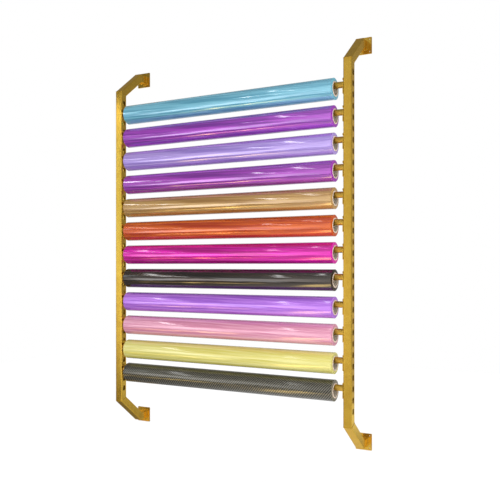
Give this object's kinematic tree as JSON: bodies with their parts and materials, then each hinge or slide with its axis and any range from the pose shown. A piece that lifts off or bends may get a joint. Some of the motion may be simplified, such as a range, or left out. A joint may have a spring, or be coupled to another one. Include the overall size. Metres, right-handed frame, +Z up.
{
  "type": "wall roll rack",
  "caption": "Wall rack of cranked square-tube uprights with notched brackets and lift-out round bars, each carrying a glossy film roll on a cardboard core.",
  "frame": {"origin": "on the wall, midway between the uprights and midway between the wall plates", "axes": "+Z up, +X to the right as seen from the room, +Y into the wall"},
  "size_m": [1.7764, 0.3314, 2.5328],
  "materials": {
    "frame_paint": "gold powder coat, satin gloss",
    "bar_paint": "gold powder coat, satin gloss",
    "core_board": "spiral wound board, matte",
    "film_teal": "wound vinyl film, high gloss",
    "film_purple": "wound vinyl film, high gloss",
    "film_lavender": "wound vinyl film, high gloss",
    "film_plum": "wound vinyl film, high gloss",
    "film_champagne": "wound vinyl film, high gloss",
    "film_orange": "wound vinyl film, high gloss",
    "film_magenta": "wound vinyl film, high gloss",
    "film_black": "wound vinyl film, high gloss",
    "film_violet": "wound vinyl film, high gloss",
    "film_pink": "wound vinyl film, high gloss",
    "film_yellow": "wound vinyl film, high gloss",
    "film_carbon": "wound vinyl film, woven carbon texture under gloss"
  },
  "bodies": {
    "rack": {"left_upright": "frame_paint", "right_upright": "frame_paint", "left_top_arm": "frame_paint", "left_bottom_arm": "frame_paint", "right_top_arm": "frame_paint", "right_bottom_arm": "frame_paint", "left_top_wall_plate": "frame_paint", "left_bottom_wall_plate": "frame_paint", "right_top_wall_plate": "frame_paint", "right_bottom_wall_plate": "frame_paint", "left_brackets": "frame_paint", "right_brackets": "frame_paint"},
    "lift_bar_01": {"bar_01": "bar_paint", "bar_plugs_01": "bar_paint"},
    "roll_01": {"core_01": "core_board", "film_01": "film_teal"},
    "lift_bar_02": {"bar_02": "bar_paint", "bar_plugs_02": "bar_paint"},
    "roll_02": {"core_02": "core_board", "film_02": "film_purple"},
    "lift_bar_03": {"bar_03": "bar_paint", "bar_plugs_03": "bar_paint"},
    "roll_03": {"core_03": "core_board", "film_03": "film_lavender"},
    "lift_bar_04": {"bar_04": "bar_paint", "bar_plugs_04": "bar_paint"},
    "roll_04": {"core_04": "core_board", "film_04": "film_plum"},
    "lift_bar_05": {"bar_05": "bar_paint", "bar_plugs_05": "bar_paint"},
    "roll_05": {"core_05": "core_board", "film_05": "film_champagne"},
    "lift_bar_06": {"bar_06": "bar_paint", "bar_plugs_06": "bar_paint"},
    "roll_06": {"core_06": "core_board", "film_06": "film_orange"},
    "lift_bar_07": {"bar_07": "bar_paint", "bar_plugs_07": "bar_paint"},
    "roll_07": {"core_07": "core_board", "film_07": "film_magenta"},
    "lift_bar_08": {"bar_08": "bar_paint", "bar_plugs_08": "bar_paint"},
    "roll_08": {"core_08": "core_board", "film_08": "film_black"},
    "lift_bar_09": {"bar_09": "bar_paint", "bar_plugs_09": "bar_paint"},
    "roll_09": {"core_09": "core_board", "film_09": "film_violet"},
    "lift_bar_10": {"bar_10": "bar_paint", "bar_plugs_10": "bar_paint"},
    "roll_10": {"core_10": "core_board", "film_10": "film_pink"},
    "lift_bar_11": {"bar_11": "bar_paint", "bar_plugs_11": "bar_paint"},
    "roll_11": {"core_11": "core_board", "film_11": "film_yellow"},
    "lift_bar_12": {"bar_12": "bar_paint", "bar_plugs_12": "bar_paint"},
    "roll_12": {"core_12": "core_board", "film_12": "film_carbon"}
  },
  "joints": [
    {"name": "lift_01", "type": "slide", "parent": "rack", "child": "lift_bar_01", "axis": [0, -0.866, 0.5], "range_m": [0, 0.07]},
    {"name": "spin_01", "type": "hinge", "parent": "lift_bar_01", "child": "roll_01", "pos_m": [0, -0.267, 0.9052], "axis": [1, 0, 0], "continuous": true},
    {"name": "lift_02", "type": "slide", "parent": "rack", "child": "lift_bar_02", "axis": [0, -0.866, 0.5], "range_m": [0, 0.07]},
    {"name": "spin_02", "type": "hinge", "parent": "lift_bar_02", "child": "roll_02", "pos_m": [0, -0.267, 0.7445], "axis": [1, 0, 0], "continuous": true},
    {"name": "lift_03", "type": "slide", "parent": "rack", "child": "lift_bar_03", "axis": [0, -0.866, 0.5], "range_m": [0, 0.07]},
    {"name": "spin_03", "type": "hinge", "parent": "lift_bar_03", "child": "roll_03", "pos_m": [0, -0.267, 0.5838], "axis": [1, 0, 0], "continuous": true},
    {"name": "lift_04", "type": "slide", "parent": "rack", "child": "lift_bar_04", "axis": [0, -0.866, 0.5], "range_m": [0, 0.07]},
    {"name": "spin_04", "type": "hinge", "parent": "lift_bar_04", "child": "roll_04", "pos_m": [0, -0.267, 0.4231], "axis": [1, 0, 0], "continuous": true},
    {"name": "lift_05", "type": "slide", "parent": "rack", "child": "lift_bar_05", "axis": [0, -0.866, 0.5], "range_m": [0, 0.07]},
    {"name": "spin_05", "type": "hinge", "parent": "lift_bar_05", "child": "roll_05", "pos_m": [0, -0.267, 0.2624], "axis": [1, 0, 0], "continuous": true},
    {"name": "lift_06", "type": "slide", "parent": "rack", "child": "lift_bar_06", "axis": [0, -0.866, 0.5], "range_m": [0, 0.07]},
    {"name": "spin_06", "type": "hinge", "parent": "lift_bar_06", "child": "roll_06", "pos_m": [0, -0.267, 0.1017], "axis": [1, 0, 0], "continuous": true},
    {"name": "lift_07", "type": "slide", "parent": "rack", "child": "lift_bar_07", "axis": [0, -0.866, 0.5], "range_m": [0, 0.07]},
    {"name": "spin_07", "type": "hinge", "parent": "lift_bar_07", "child": "roll_07", "pos_m": [0, -0.267, -0.059], "axis": [1, 0, 0], "continuous": true},
    {"name": "lift_08", "type": "slide", "parent": "rack", "child": "lift_bar_08", "axis": [0, -0.866, 0.5], "range_m": [0, 0.07]},
    {"name": "spin_08", "type": "hinge", "parent": "lift_bar_08", "child": "roll_08", "pos_m": [0, -0.267, -0.2197], "axis": [1, 0, 0], "continuous": true},
    {"name": "lift_09", "type": "slide", "parent": "rack", "child": "lift_bar_09", "axis": [0, -0.866, 0.5], "range_m": [0, 0.07]},
    {"name": "spin_09", "type": "hinge", "parent": "lift_bar_09", "child": "roll_09", "pos_m": [0, -0.267, -0.3804], "axis": [1, 0, 0], "continuous": true},
    {"name": "lift_10", "type": "slide", "parent": "rack", "child": "lift_bar_10", "axis": [0, -0.866, 0.5], "range_m": [0, 0.07]},
    {"name": "spin_10", "type": "hinge", "parent": "lift_bar_10", "child": "roll_10", "pos_m": [0, -0.267, -0.5411], "axis": [1, 0, 0], "continuous": true},
    {"name": "lift_11", "type": "slide", "parent": "rack", "child": "lift_bar_11", "axis": [0, -0.866, 0.5], "range_m": [0, 0.07]},
    {"name": "spin_11", "type": "hinge", "parent": "lift_bar_11", "child": "roll_11", "pos_m": [0, -0.267, -0.7081], "axis": [1, 0, 0], "continuous": true},
    {"name": "lift_12", "type": "slide", "parent": "rack", "child": "lift_bar_12", "axis": [0, -0.866, 0.5], "range_m": [0, 0.07]},
    {"name": "spin_12", "type": "hinge", "parent": "lift_bar_12", "child": "roll_12", "pos_m": [0, -0.267, -0.8688], "axis": [1, 0, 0], "continuous": true}
  ]
}
